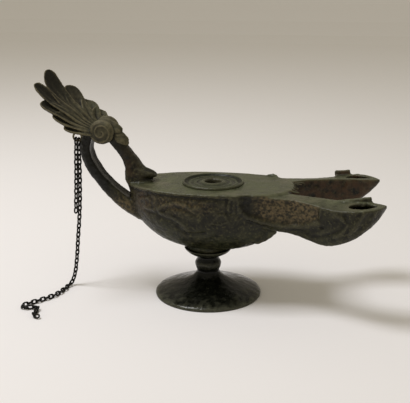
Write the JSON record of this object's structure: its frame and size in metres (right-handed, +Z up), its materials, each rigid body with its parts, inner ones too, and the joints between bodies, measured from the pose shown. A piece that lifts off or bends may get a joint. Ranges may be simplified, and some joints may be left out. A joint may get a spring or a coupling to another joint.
{
  "type": "roman oil lamp",
  "caption": "Bronze oil lamp with a closed bowl, paired nozzles, a ring handle under a leaf, a domed pedestal foot and a hanging link chain.",
  "frame": {"origin": "on the table under the middle of the lamp and its foot", "axes": "+X from the leaf towards the nozzles, +Y to the left of someone who looks along +X, +Z up"},
  "size_m": [0.2155, 0.0992, 0.1399],
  "materials": {
    "dark_bronze": "worn dark green-brown patina with paler mineral spots",
    "foot_bronze": "smoother dark grey-green patina with a dull sheen",
    "chain_bronze": "near-black brown patina"
  },
  "bodies": {
    "root": {"lamp_body": "dark_bronze", "pedestal_foot": "foot_bronze", "chain_long": "chain_bronze", "chain_short": "chain_bronze"}
  },
  "joints": []
}
